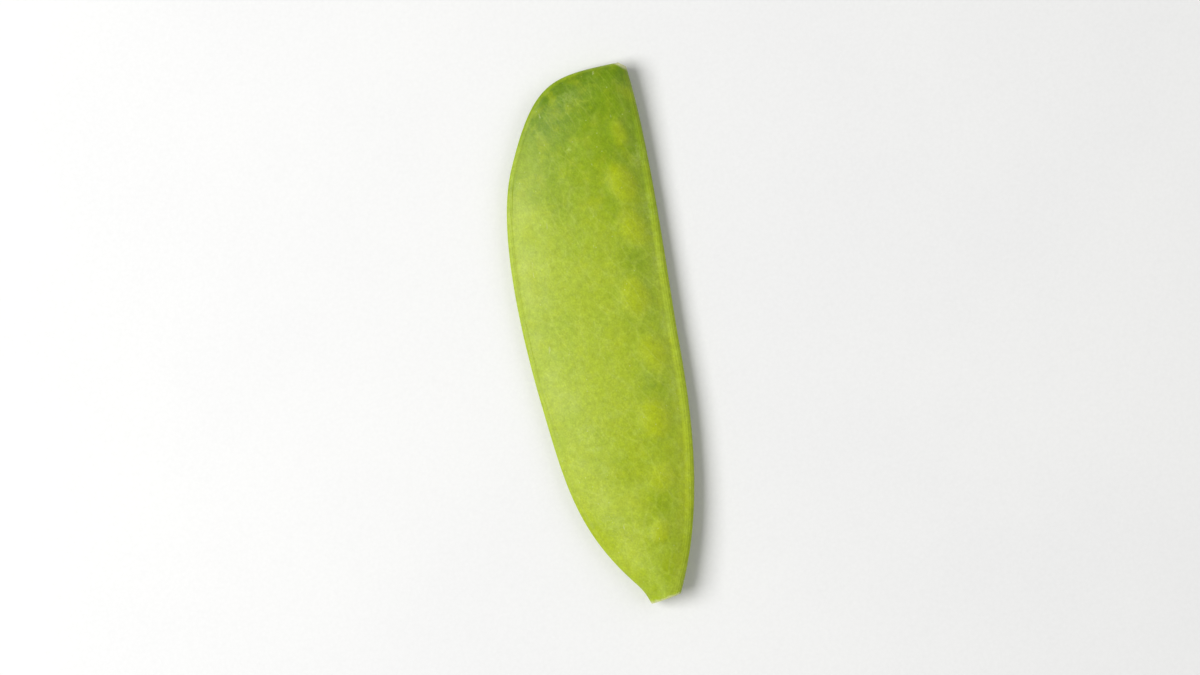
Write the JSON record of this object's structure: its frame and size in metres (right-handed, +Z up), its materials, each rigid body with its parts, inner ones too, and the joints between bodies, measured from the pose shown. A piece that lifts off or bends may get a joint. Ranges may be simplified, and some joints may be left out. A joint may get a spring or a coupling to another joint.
{
  "type": "snow pea pod",
  "caption": "Flat green pea pod, trimmed at both ends and lying on its side, with a thick seed seam, a curved back seam and low swellings over its young seeds.",
  "frame": {"origin": "centre of the pod's bounding box, at the surface it lies on", "axes": "+X along the pod from the stem cut to the blossom tip, +Y to the curved back seam, +Z up"},
  "size_m": [0.0752, 0.0224, 0.0049],
  "materials": {
    "skin": "waxy fresh green skin, satin, with a faint bloom"
  },
  "bodies": {
    "root": {"pod": "skin"}
  },
  "joints": []
}
